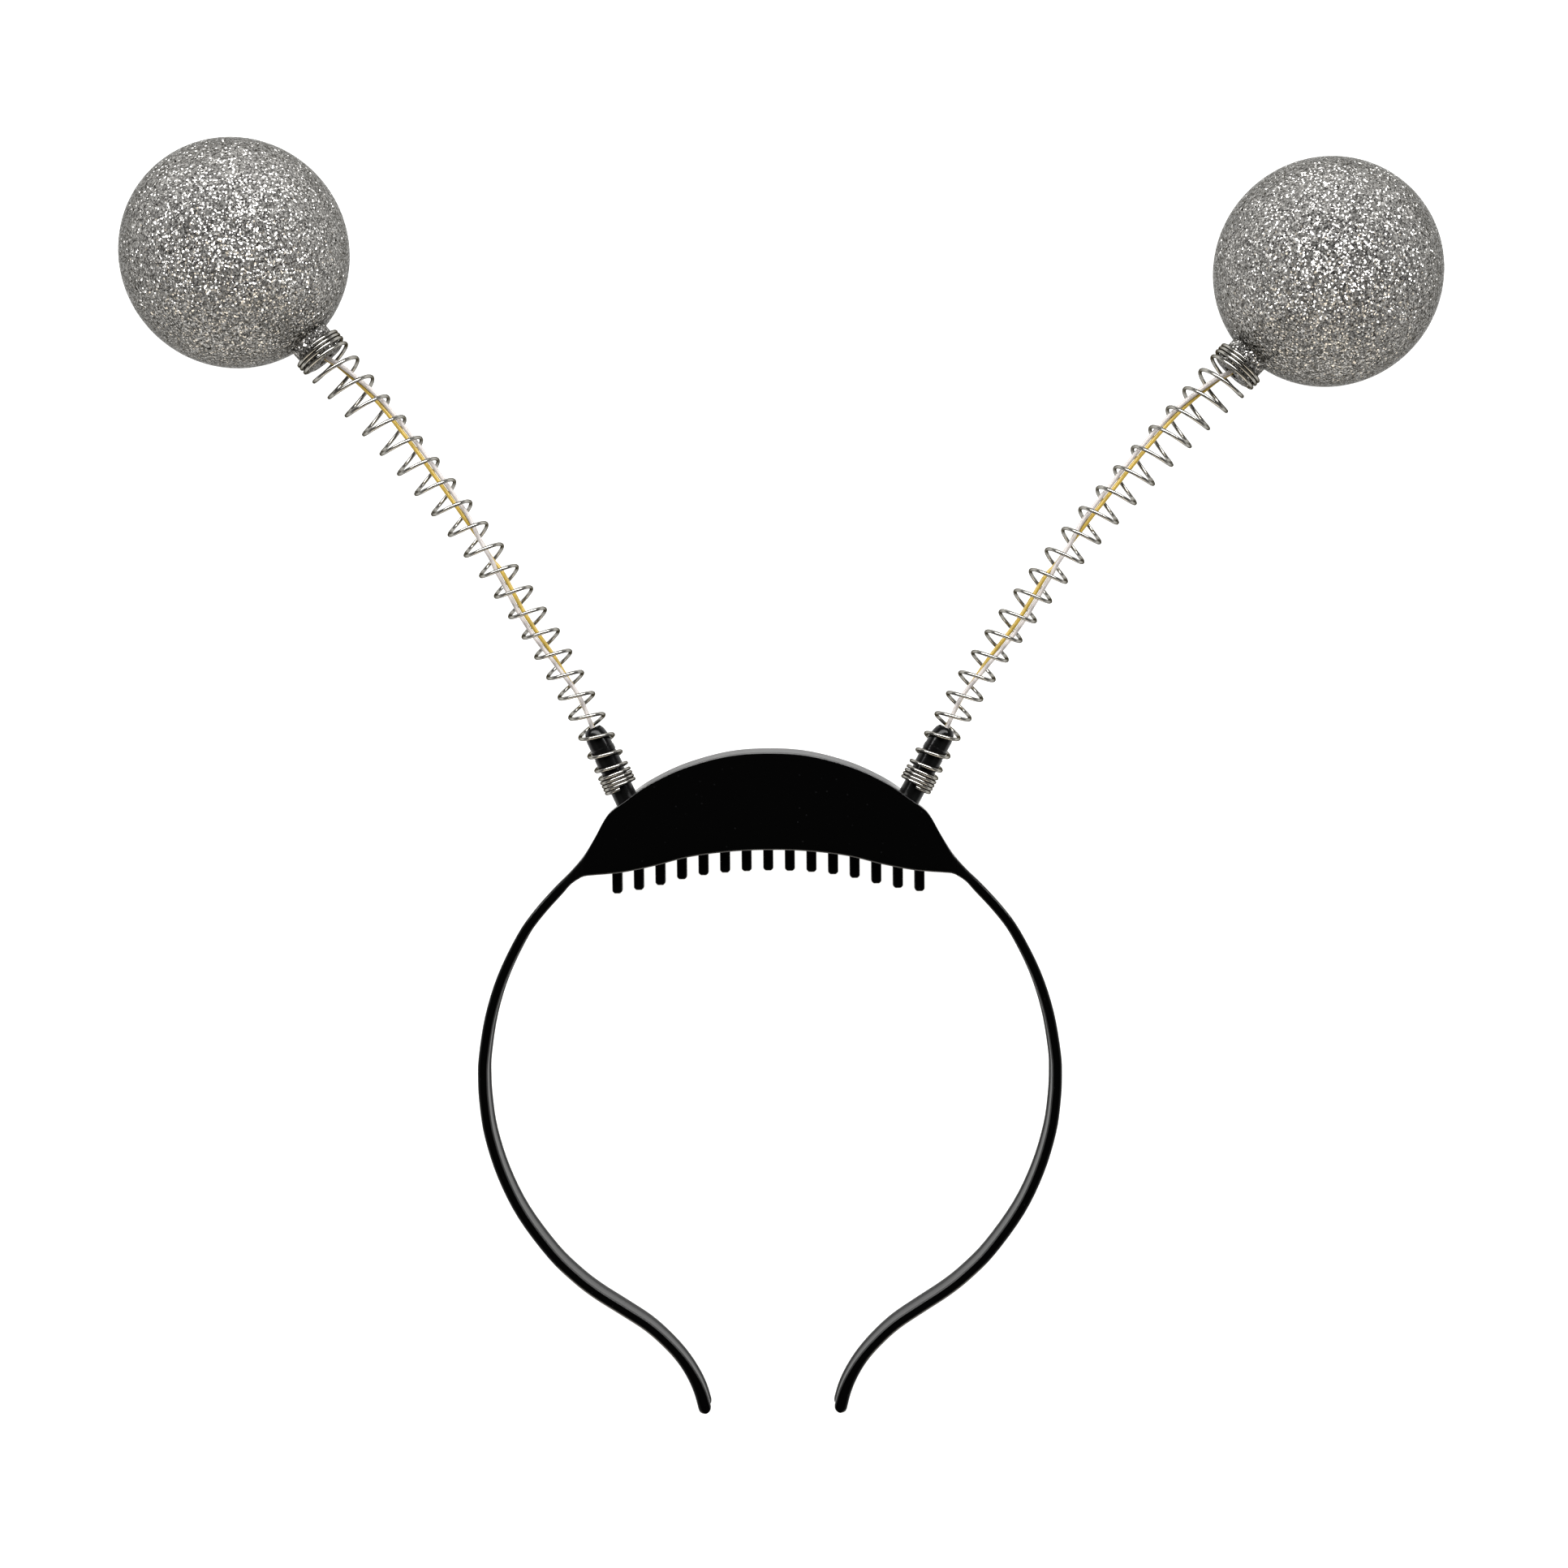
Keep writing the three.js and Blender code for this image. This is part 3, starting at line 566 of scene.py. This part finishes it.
gloss_black, tree, surface = new_material("polished_black_abs")
coordinates = add_node(tree, "ShaderNodeTexCoord")
place, normal = coordinates.outputs["Object"], coordinates.outputs["Normal"]
speck = add_node(tree, "ShaderNodeTexVoronoi", {"Vector": place, "Scale": 1 / DUST_SPACING})
dust = ranged(tree, speck.outputs["Distance"], *DUST_SIZE, 1, 0)
ripple = noise(tree, place, MOULD_RIPPLE, 1.0)
polish = ranged(tree, ripple, 0, 1, *POLISH)
waviness = add_node(
    tree,
    "ShaderNodeBump",
    {"Height": ripple, "Strength": RIPPLE_STRENGTH, "Distance": RIPPLE_HEIGHT},
)

spot = add_node(tree, "ShaderNodeSeparateXYZ", {"Vector": place})
facing = add_node(tree, "ShaderNodeSeparateXYZ", {"Vector": normal})
aside = computed(tree, "ABSOLUTE", spot.outputs["X"])
upright = computed(tree, "ABSOLUTE", facing.outputs["Z"])
on_crown = ranged(tree, aside, *CROWN_WALL_ENDS, 1, 0)
on_wall = ranged(tree, upright, *WALL_STEEPNESS, 1, 0)
on_top = ranged(tree, facing.outputs["Y"], *WALL_UPWARDS, 0, 1)
crown_wall = computed(tree, "MULTIPLY", on_crown, on_wall)
crown_top_wall = computed(tree, "MULTIPLY", crown_wall, on_top)
from_head = vector_computed(tree, "SUBTRACT", place, HEAD_MIDDLE)
outwards = vector_computed(tree, "DOT_PRODUCT", from_head, normal)
on_inside = ranged(tree, outwards, *INWARD_REACH, 1, 0)
dull_part = computed(tree, "MAXIMUM", crown_top_wall, on_inside)
finish = add_node(tree, "ShaderNodeMix", {0: dull_part, 2: polish, 3: SATIN})
wire_up(
    tree,
    surface,
    Base_Color=blended_colour(tree, dust, linear(ABS_BLACK), linear(ABS_DUST)),
    Roughness=finish.outputs[0],
    Normal=waviness.outputs["Normal"],
)
surface.inputs["IOR"].default_value = ABS_IOR

headband = skinned("headband_shown", band_rings)
smooth_up_to(headband, 32)
keep_faces_flat(headband)
dress(headband, gloss_black)
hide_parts("headband")
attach(headband, "headband")


# Front panel: a smooth cover of the same ABS, pressed over the open face of the housing. Its
# edges are nearly sharp, so only the satin wall behind it shows, as a grey line along the crown.
PANEL_INSET = 0.06 * MM


def panel_outline(t, wall, swelled):
    """The panel's section, which stands a little inside the housing's; it doesn't swell."""
    yield "front", PANEL_INSET, -PANEL_THICKNESS
    front_rounding = front_rounding_at(t, wall)
    start = PANEL_INSET + front_rounding
    end = wall - PANEL_INSET - INNER_ROUNDING
    yield from rounded("front", start, front_rounding, 180)
    for share in (0.15, 0.3, 0.5, 0.7, 0.85):
        yield "front", start + (end - start) * share, 0
    yield from rounded("front", end, INNER_ROUNDING, 90)
    yield "front", wall - PANEL_INSET, -PANEL_THICKNESS


panel_stations = [t for t, _ in sorted(set(stations)) if abs(t) < PANEL_END]
panel_stations = [-PANEL_END, *panel_stations, PANEL_END]
panel = skinned("front_panel_shown", [section_at(t, 1, panel_outline) for t in panel_stations])
smooth_up_to(panel, 32)
keep_faces_flat(panel)
dress(panel, gloss_black)
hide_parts("front_panel")
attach(panel, "headband")


# Comb: a rail with fifteen short flat teeth, moulded in the same ABS, that grips the hair. It
# slides into a slot in the lower edge of the housing.
TOOTH_EDGE = 0.18 * MM

comb_mesh = nodes["comb"].data.copy()
shape = bmesh.new()
shape.from_mesh(comb_mesh)
bmesh.ops.remove_doubles(shape, verts=shape.verts, dist=0.002 * MM)
bmesh.ops.dissolve_limit(
    shape, angle_limit=math.radians(0.5), verts=shape.verts, edges=shape.edges
)
shape.to_mesh(comb_mesh)
shape.free()
comb = add_object("comb_shown", comb_mesh)
round_edges = comb.modifiers.new("tooth_edges", "BEVEL")
round_edges.width = TOOTH_EDGE
round_edges.segments = 2
round_edges.limit_method = "ANGLE"
round_edges.angle_limit = math.radians(40)
dress(comb, gloss_black)
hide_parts("comb")
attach(comb, "headband")


# Posts: hollow black plastic spigots that stand in the housing and carry the springs. Each has
# a domed tip, two raised rings that grip the coils, and a hole for the leads.
POST_AT = 31.4 * MM
POST_ROOT = 0.084 * MM
POST_LENGTH = 17.8 * MM
SPRING_LENGTH = 100.4 * MM
BALL_RADIUS = 25 * MM
NECK_LENGTH = 5.4 * MM
BALL_AT = POST_LENGTH + SPRING_LENGTH + NECK_LENGTH + BALL_RADIUS
POST_RADIUS = 2.75 * MM
POST_BORE = 1.6 * MM
POST_FOOT = 5 * MM
AXIS_STEP = 0.5 * MM

# Each antenna's side, and how many degrees its post and its ball lean outwards.
antennas = [
    {"name": "left", "side": -1, "post_lean": 24.7, "ball_lean": 40.3},
    {"name": "right", "side": 1, "post_lean": 28.7, "ball_lean": 44.1},
]


def lean_at(antenna, s):
    """The antenna's lean at a length along it: its spring sags like a beam held at one end."""
    share = min(max((s - POST_LENGTH) / SPRING_LENGTH, 0), 1)
    bend = (antenna["ball_lean"] - antenna["post_lean"]) * (1 - (1 - share) ** 2)
    return math.radians(antenna["post_lean"] + bend)


def axis_of(antenna):
    """Places along the antenna's axis, every AXIS_STEP from the crown's top."""
    x, y = POST_AT, POST_ROOT
    samples = []
    for i in range(int(BALL_AT / AXIS_STEP) + 2):
        samples.append((x, y))
        lean = lean_at(antenna, (i + 0.5) * AXIS_STEP)
        x += math.sin(lean) * AXIS_STEP
        y += math.cos(lean) * AXIS_STEP
    return samples


def axis_frame(antenna, s):
    """Point on the antenna's axis, with the directions along it, inwards and forwards."""
    samples = antenna["axis"]
    lean = lean_at(antenna, s)
    side = antenna["side"]
    place = min(max(s / AXIS_STEP, 0), len(samples) - 1.001)
    low = int(place)
    x = samples[low][0] + (samples[low + 1][0] - samples[low][0]) * (place - low)
    y = samples[low][1] + (samples[low + 1][1] - samples[low][1]) * (place - low)
    if s < 0:
        x += math.sin(lean) * s
        y += math.cos(lean) * s
    middle = to_world(0, 0, 0)
    along = to_world(side * math.sin(lean), math.cos(lean), 0) - middle
    inward = to_world(-side * math.cos(lean), math.sin(lean), 0) - middle
    forward = to_world(0, 0, 1) - middle
    return to_world(side * x, y, 0), along, inward, forward


def spun_piece(name, outline, antenna, s, steps):
    """A turned piece: its outline of (radius, length) pairs is spun round the antenna's axis."""
    mesh = bpy.data.meshes.new(name)
    shape = bmesh.new()
    corners = [shape.verts.new((radius, 0, length)) for radius, length in outline]
    edges = [shape.edges.new(pair) for pair in zip(corners, corners[1:])]
    bmesh.ops.spin(
        shape,
        geom=corners + edges,
        cent=(0, 0, 0),
        axis=(0, 0, 1),
        angle=2 * math.pi,
        steps=steps,
        use_merge=True,
    )
    bmesh.ops.remove_doubles(shape, verts=shape.verts, dist=0.001 * MM)
    bmesh.ops.recalc_face_normals(shape, faces=shape.faces)
    place, along, inward, _ = axis_frame(antenna, s)
    turn = Matrix((inward, along.cross(inward), along)).transposed()
    bmesh.ops.transform(shape, matrix=Matrix.Translation(place) @ turn.to_4x4(), verts=shape.verts)
    shape.to_mesh(mesh)
    shape.free()
    return add_object(name, mesh)


for antenna in antennas:
    antenna["axis"] = axis_of(antenna)

POST_STEPS = 48
RING = 0.12 * MM
RING_SLOPE = 0.01
TIP_HOLE = 0.8
TIP_HOLE_ENDS = 0.7

# Shares of the post's length where its raised rings begin and end, then its dome as shares of its
# length and of its radius.
post_rings = [(0.27, 0.33), (0.46, 0.61), (0.66, 0.72)]
post_dome = [(0.86, 0.995), (0.9, 0.95), (0.95, 0.86), (0.985, 0.73), (1.0, 0.615)]

post_outline = [(POST_BORE, -POST_FOOT), (POST_RADIUS - RING, -POST_FOOT)]
for low, high in post_rings:
    for share, radius in (
        (low - RING_SLOPE, POST_RADIUS - RING),
        (low, POST_RADIUS),
        (high, POST_RADIUS),
        (high + RING_SLOPE, POST_RADIUS - RING),
    ):
        post_outline.append((radius, share * POST_LENGTH))
for share, radius in post_dome:
    post_outline.append(((POST_RADIUS - RING) * radius, share * POST_LENGTH))
post_outline += [(POST_BORE * TIP_HOLE, POST_LENGTH)]
post_outline += [(POST_BORE * TIP_HOLE, POST_LENGTH * TIP_HOLE_ENDS)]

POST_BLACK = "#070707"
POST_SPECULAR = 0.14
POST_ROUGHNESS = (0.08, 0.22)
POST_FLOW = 1.5 * MM
POST_BUMP = 0.1 * MM

post_plastic, tree, surface = new_material("smooth_black_spigot_plastic")
place = add_node(tree, "ShaderNodeTexCoord").outputs["Object"]
flow = noise(tree, place, POST_FLOW, 2.0)
uneven = add_node(
    tree, "ShaderNodeBump", {"Height": flow, "Strength": 0.4, "Distance": POST_BUMP}
)
surface.inputs["Base Color"].default_value = linear(POST_BLACK)
surface.inputs["Specular IOR Level"].default_value = POST_SPECULAR
wire_up(
    tree,
    surface,
    Roughness=ranged(tree, flow, 0, 1, *POST_ROUGHNESS),
    Normal=uneven.outputs["Normal"],
)

for antenna in antennas:
    name = antenna["name"]
    post = spun_piece(f"{name}_post_shown", post_outline, antenna, 0, POST_STEPS)
    smooth_up_to(post, 30)
    dress(post, post_plastic)
    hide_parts(f"{name}_post")
    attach(post, "headband")


# Springs: bright nickel-plated steel wire, wound into a cone that widens from the post to the
# ball's neck. The close coils at both ends grip by themselves, and the open ones let the ball bob.
WIRE_RADIUS = 0.417 * MM
SPRING_START = 3.1 * MM
CLOSE_PITCH = 0.86 * MM
CLOSE_TURNS = 4
POST_COIL_RADIUS = 3.45 * MM
NECK_COIL_RADIUS = 5.5 * MM
NECK_TURN = 26
NECK_COILS = 3
NECK_PITCH = 1.0 * MM
NECK_GAP = 0.4 * MM
START_TURN = 0.25
POINTS_PER_TURN = 32
WIRE_SIDES = 4

# Turn of the coil, how far along it is, as a share of the post's length and then of the open
# spring's, and how far the cone has widened.
post_turns = [(5, 0.461, 0), (6, 0.64, 0.02), (7, 0.888, 0.04)]
free_turns = [
    (8, 0.03, 0.06),
    (10, 0.133, 0.09),
    (13, 0.293, 0.15),
    (16, 0.461, 0.25),
    (19, 0.635, 0.38),
    (22, 0.809, 0.57),
    (24, 0.92, 0.78),
    (25, 0.97, 0.9),
]
neck_start = POST_LENGTH + SPRING_LENGTH + NECK_GAP
spring_turns = [(0, SPRING_START, 0), (CLOSE_TURNS, SPRING_START + CLOSE_TURNS * CLOSE_PITCH, 0)]
spring_turns += [(turn, share * POST_LENGTH, wide) for turn, share, wide in post_turns]
spring_turns += [
    (turn, POST_LENGTH + share * SPRING_LENGTH, wide) for turn, share, wide in free_turns
]
spring_turns += [
    (NECK_TURN, neck_start, 1),
    (NECK_TURN + NECK_COILS, neck_start + NECK_COILS * NECK_PITCH, 1),
]


def tube_along(name, points, radius):
    """A round wire along a line of points, as a mesh."""
    curve = bpy.data.curves.new(name, "CURVE")
    curve.dimensions = "3D"
    curve.bevel_depth = radius
    curve.bevel_resolution = WIRE_SIDES
    curve.use_fill_caps = True
    line = curve.splines.new("POLY")
    line.points.add(len(points) - 1)
    for point, place in zip(line.points, points):
        point.co = (*place, 1)
    maker = add_object(name, curve)
    bpy.context.view_layer.update()
    as_built = maker.evaluated_get(bpy.context.evaluated_depsgraph_get())
    mesh = bpy.data.meshes.new_from_object(as_built)
    bpy.data.objects.remove(maker)
    bpy.data.curves.remove(curve)
    piece = add_object(name, mesh)
    smooth_up_to(piece, 60)
    return piece


def bend_with_spring(piece, antenna):
    """The piece's placement is baked into its mesh; the post's tip and the neck's face are found, but
    nothing uses them.
    """
    post_tip = axis_frame(antenna, POST_LENGTH)[0]
    neck_face = axis_frame(antenna, POST_LENGTH + SPRING_LENGTH)[0]
    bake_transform(piece)
    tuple(post_tip)
    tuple(neck_face)


NICKEL = "#9C9A95"
NICKEL_DULL = "#807E79"
NICKEL_EDGE = "#605E59"
NICKEL_ROUGHNESS = (0.1, 0.28)
PLATING_PATCH = 1.0 * MM

bright_wire, tree, surface = new_material("bright_nickel_plated_wire")
place = add_node(tree, "ShaderNodeTexCoord").outputs["Object"]
plating = noise(tree, place, PLATING_PATCH, 3.0)
surface.inputs["Metallic"].default_value = 1.0
surface.inputs["Specular Tint"].default_value = linear(NICKEL_EDGE)
wire_up(
    tree,
    surface,
    Base_Color=blended_colour(tree, plating, linear(NICKEL), linear(NICKEL_DULL)),
    Roughness=ranged(tree, plating, 0, 1, *NICKEL_ROUGHNESS),
)

for antenna in antennas:
    name = antenna["name"]
    points = []
    for i in range(spring_turns[-1][0] * POINTS_PER_TURN + 1):
        turn = i / POINTS_PER_TURN
        wide = smoothly(spring_turns, turn, 2)
        radius = POST_COIL_RADIUS + (NECK_COIL_RADIUS - POST_COIL_RADIUS) * wide
        spot, _, inward, forward = axis_frame(antenna, smoothly(spring_turns, turn, 1))
        angle = (turn - START_TURN) * 2 * math.pi
        points.append(spot - inward * radius * math.cos(angle) - forward * radius * math.sin(angle))
    spring = tube_along(f"{name}_spring_shown", points, WIRE_RADIUS)
    dress(spring, bright_wire)
    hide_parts(f"{name}_spring")
    bend_with_spring(spring, antenna)


# Leads: one white and one yellow wire with PVC insulation for each lamp. They come out of the
# post's tip, lean on the inside of the sagging spring and go into the ball's neck.
LEAD_RADIUS = 0.48 * MM
LEAD_SPACING = 1.05 * MM
LEAD_SWAY = 1.25 * MM
LEAD_FOOT = 2 * MM
LEAD_TAIL = 8 * MM
LEAD_POINTS = 160

# Share of the spring's length, distance inwards in LEAD_SWAY, degrees that the pair is turned.
lead_route = [
    (0.0, 0, 90),
    (0.075, 0.36, 100),
    (0.13, -0.1, 80),
    (0.185, -0.42, 45),
    (0.24, -0.83, 10),
    (0.3, -0.85, 0),
    (0.4, 0, 15),
    (0.427, 0.13, 80),
    (0.46, 0.34, 90),
    (0.493, 0.65, 100),
    (0.54, 1.1, 155),
    (0.635, 1.55, 178),
    (0.75, 2.1, 178),
    (0.865, 2.2, 150),
    (0.97, 1.0, 115),
    (1.0, 0.15, 108),
]
lead_rows = [(-POST_FOOT - LEAD_FOOT, 0, 90), (POST_LENGTH / 2, 0, 90)]
lead_rows += [(POST_LENGTH + share * SPRING_LENGTH, a, b) for share, a, b in lead_route]
lead_rows += [(POST_LENGTH + SPRING_LENGTH + LEAD_TAIL, 0, 108)]

PVC_WHITE = ("#A39E9B", "#A09A97")
PVC_YELLOW = ("#A58C38", "#93792C")
PVC_ROUGHNESS = 0.38
PVC_DEPTH = 0.3 * MM
TINT_PATCH = 1.8 * MM


def pvc(name, colours):
    """Soft insulation whose tint varies a little between two colours."""
    material, tree, surface = new_material(name)
    place = add_node(tree, "ShaderNodeTexCoord").outputs["Object"]
    tint = blended_colour(tree, noise(tree, place, TINT_PATCH, 2.0), *map(linear, colours))
    surface.inputs["Roughness"].default_value = PVC_ROUGHNESS
    surface.inputs["Subsurface Weight"].default_value = 0.15
    surface.inputs["Subsurface Scale"].default_value = PVC_DEPTH
    surface.inputs["Subsurface Radius"].default_value = (1.0, 0.8, 0.6)
    wire_up(tree, surface, Base_Color=tint)
    return material


lead_finish = {
    "white": pvc("white_pvc_insulation", PVC_WHITE),
    "yellow": pvc("yellow_pvc_insulation", PVC_YELLOW),
}

for antenna in antennas:
    name = antenna["name"]
    for colour, sign in (("white", -1), ("yellow", 1)):
        points = []
        first, last = lead_rows[0][0], lead_rows[-1][0]
        for i in range(LEAD_POINTS + 1):
            s = first + (last - first) * i / LEAD_POINTS
            aside = smoothly(lead_rows, s, 1) * LEAD_SWAY
            twist = math.radians(smoothly(lead_rows, s, 2))
            reach = sign * LEAD_SPACING / 2
            spot, _, inward, forward = axis_frame(antenna, s)
            spot = spot + inward * (aside + reach * math.cos(twist))
            points.append(spot - forward * reach * math.sin(twist))
        lead = tube_along(f"{name}_lead_{colour}_shown", points, LEAD_RADIUS)
        dress(lead, lead_finish[colour])
        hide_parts(f"{name}_lead_{colour}")
        bend_with_spring(lead, antenna)


# Balls: blown plastic shells with a short neck, rolled in glue and fine silver glitter. The
# flakes lie at all angles, so each one is bright or dark by itself.
NECK_RADIUS = 4.75 * MM
NECK_HOLE = 1.9 * MM
NECK_HOLE_DEPTH = 3 * MM
NECK_EDGE = 0.5 * MM
NECK_CHAMFER = 0.3
BALL_STEPS = 128
BALL_ROWS = 64

neck_end = -(BALL_RADIUS + NECK_LENGTH)
neck_meets = math.asin(NECK_RADIUS / BALL_RADIUS)
ball_outline = [
    (NECK_HOLE, neck_end + NECK_HOLE_DEPTH),
    (NECK_HOLE, neck_end),
    (NECK_RADIUS - NECK_EDGE, neck_end),
    (NECK_RADIUS - NECK_CHAMFER * NECK_EDGE, neck_end + NECK_CHAMFER * NECK_EDGE),
    (NECK_RADIUS, neck_end + NECK_EDGE),
]
for i in range(BALL_ROWS + 1):
    angle = neck_meets + (math.pi - neck_meets) * i / BALL_ROWS
    ball_outline.append((BALL_RADIUS * math.sin(angle), -BALL_RADIUS * math.cos(angle)))

FLAKE = 0.31 * MM
FLAKE_TIP = 1.4
SILVER = "#C6C4C1"
SILVER_DULL = "#444341"
GLUE_GREY = "#403F3C"
RIM_SHADE_COLOUR = "#2C2B29"
FLAKE_EDGE = "#868582"

BARE_GLUE = (0.2, 0.4)
GLUE_METALNESS = 0.2
# Painted shade at the ball's outline, standing in for the shadows between flakes there: where it
# begins as the surface turns from the camera, and how dark it gets.
SHADE_FROM = 0.5
EDGE_SHADE = 0.55

glitter, tree, surface = new_material("silver_glitter_over_plastic")
place = add_node(tree, "ShaderNodeTexCoord").outputs["Object"]
flake = add_node(tree, "ShaderNodeTexVoronoi", {"Vector": place, "Scale": 1 / FLAKE})
draw = flake.outputs["Color"]
normal = add_node(tree, "ShaderNodeNewGeometry").outputs["Normal"]
tipped = vector_computed(tree, "SUBTRACT", draw, (0.5, 0.5, 0.5))
lean = add_node(
    tree, "ShaderNodeVectorMath", {0: tipped, "Scale": FLAKE_TIP}, operation="SCALE"
)
flake_normal = vector_computed(tree, "ADD", normal, lean.outputs["Vector"])
lot = add_node(tree, "ShaderNodeTexWhiteNoise", {"Vector": draw})
which = add_node(tree, "ShaderNodeSeparateColor", {"Color": lot.outputs["Color"]})
metal = ranged(tree, which.outputs["Red"], *BARE_GLUE, GLUE_METALNESS, 1.0)
foil = blended_colour(tree, which.outputs["Green"], linear(SILVER_DULL), linear(SILVER))
tone = blended_colour(tree, metal, linear(GLUE_GREY), foil)
# Painted shade: the base colour is mixed towards a dark grey where the surface turns away from the
# camera.
rim = add_node(tree, "ShaderNodeLayerWeight", {"Blend": 0.5})
rim_shade_share = ranged(tree, rim.outputs["Facing"], SHADE_FROM, 1.0, 0, EDGE_SHADE)
wire_up(
    tree,
    surface,
    Base_Color=blended_colour(tree, rim_shade_share, tone, linear(RIM_SHADE_COLOUR)),
    Metallic=metal,
    Normal=vector_computed(tree, "NORMALIZE", flake_normal),
)
surface.inputs["Roughness"].default_value = 0.26
surface.inputs["Specular IOR Level"].default_value = 0.25
surface.inputs["Specular Tint"].default_value = linear(FLAKE_EDGE)

for antenna in antennas:
    name = antenna["name"]
    ball = spun_piece(f"{name}_ball_shown", ball_outline, antenna, BALL_AT, BALL_STEPS)
    smooth_up_to(ball, 50)
    dress(ball, glitter)
    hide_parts(f"{name}_ball")
    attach(ball, f"{name}_bopper")


boxes = {"cad": cad_box, "visual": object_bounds()}
{key: [list(corner) for corner in box] for key, box in boxes.items()}
